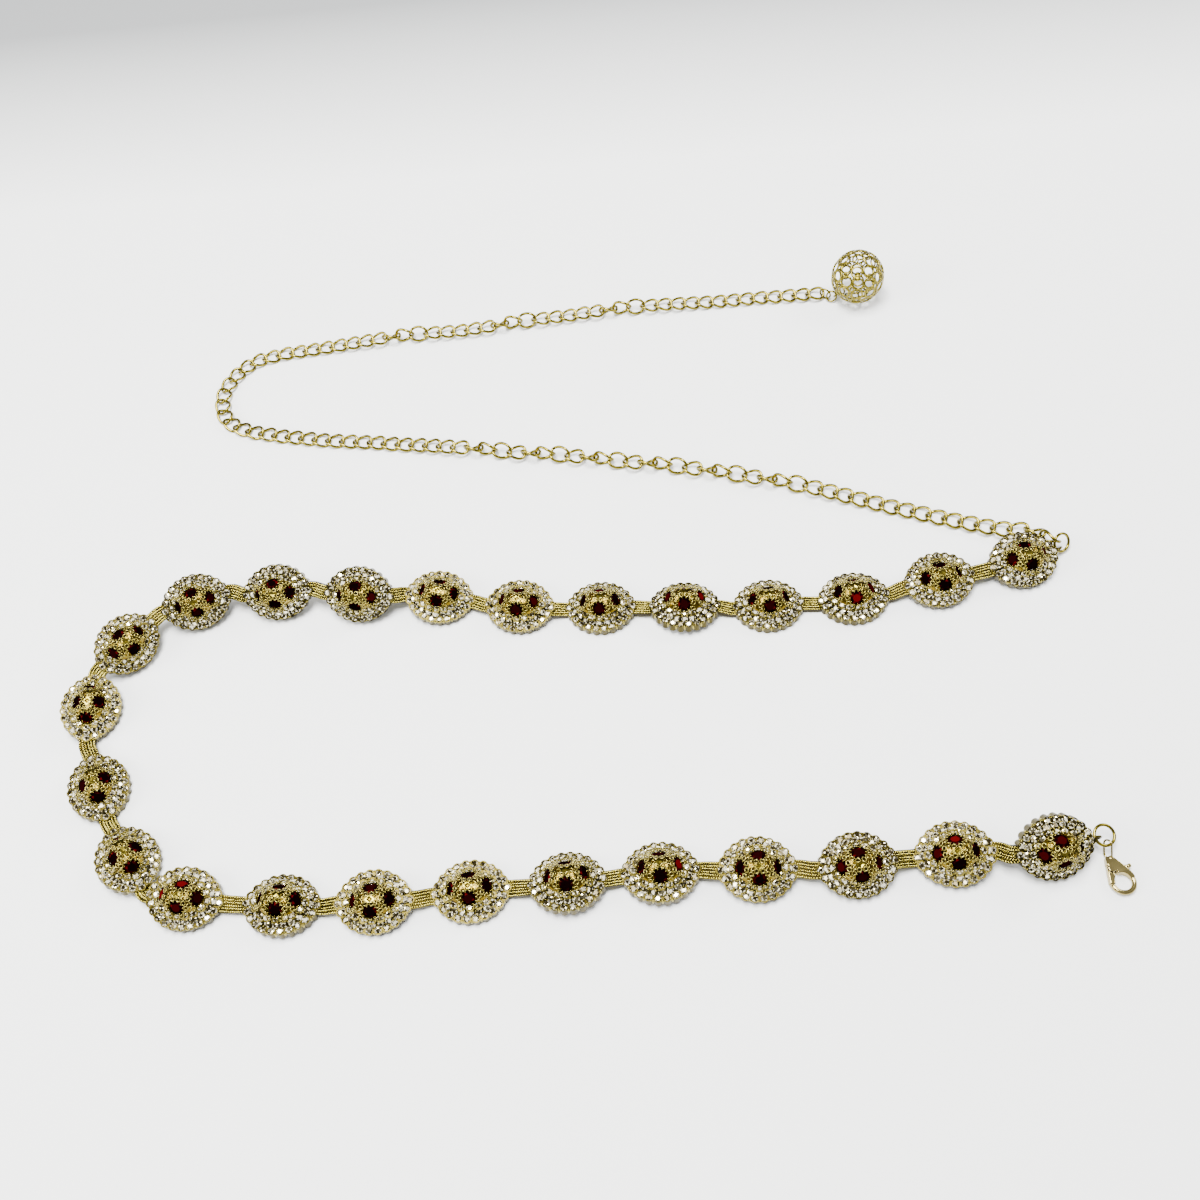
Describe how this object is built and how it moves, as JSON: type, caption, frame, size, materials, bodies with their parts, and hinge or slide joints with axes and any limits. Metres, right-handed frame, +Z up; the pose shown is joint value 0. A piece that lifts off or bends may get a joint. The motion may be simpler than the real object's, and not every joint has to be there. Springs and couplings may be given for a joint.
{
  "type": "waist chain",
  "caption": "Waist chain of domed stone-set medallions on a woven strap, with a lever clasp and a long curb chain that ends in a pierced ball.",
  "frame": {"origin": "centre of the bounding box's bottom face, on the plane the chain lies on", "axes": "+Z up from the plane, +X along the longer side of the lying chain towards the clasp, +Y towards the curb chain"},
  "size_m": [0.3085, 0.2409, 0.0184],
  "materials": {
    "medallion_gilt": "polished pale gilding",
    "woven_gilt": "satin braided wire",
    "garnet": "polished facets",
    "chain_gilt": "polished",
    "ring_gilt": "polished",
    "clasp_gilt": "polished",
    "lever_gilt": "polished",
    "ball_gilt": "polished"
  },
  "bodies": {
    "chain": {"medallion_01": "medallion_gilt", "medallion_02": "medallion_gilt", "medallion_03": "medallion_gilt", "medallion_04": "medallion_gilt", "medallion_05": "medallion_gilt", "medallion_06": "medallion_gilt", "medallion_07": "medallion_gilt", "medallion_08": "medallion_gilt", "medallion_09": "medallion_gilt", "medallion_10": "medallion_gilt", "medallion_11": "medallion_gilt", "medallion_12": "medallion_gilt", "medallion_13": "medallion_gilt", "medallion_14": "medallion_gilt", "medallion_15": "medallion_gilt", "medallion_16": "medallion_gilt", "medallion_17": "medallion_gilt", "medallion_18": "medallion_gilt", "medallion_19": "medallion_gilt", "medallion_20": "medallion_gilt", "medallion_21": "medallion_gilt", "medallion_22": "medallion_gilt", "medallion_23": "medallion_gilt", "medallion_24": "medallion_gilt", "medallion_25": "medallion_gilt", "woven_strap": "woven_gilt", "garnets_back_row": "garnet", "garnets_front_row": "garnet", "curb_chain_lower": "chain_gilt", "curb_chain_upper": "chain_gilt", "far_jump_ring": "ring_gilt", "near_jump_ring": "ring_gilt", "clasp_body": "clasp_gilt", "chain_end_ring": "ring_gilt", "ball_ring": "ring_gilt", "filigree_ball": "ball_gilt"},
    "lever": {"clasp_lever": "lever_gilt"}
  },
  "joints": [
    {"name": "clasp_lever_hinge", "type": "hinge", "parent": "chain", "child": "lever", "pos_m": [0.13122, -0.11328, 0.0012], "axis": [0, 0, 1], "range_deg": [0, 25]}
  ]
}
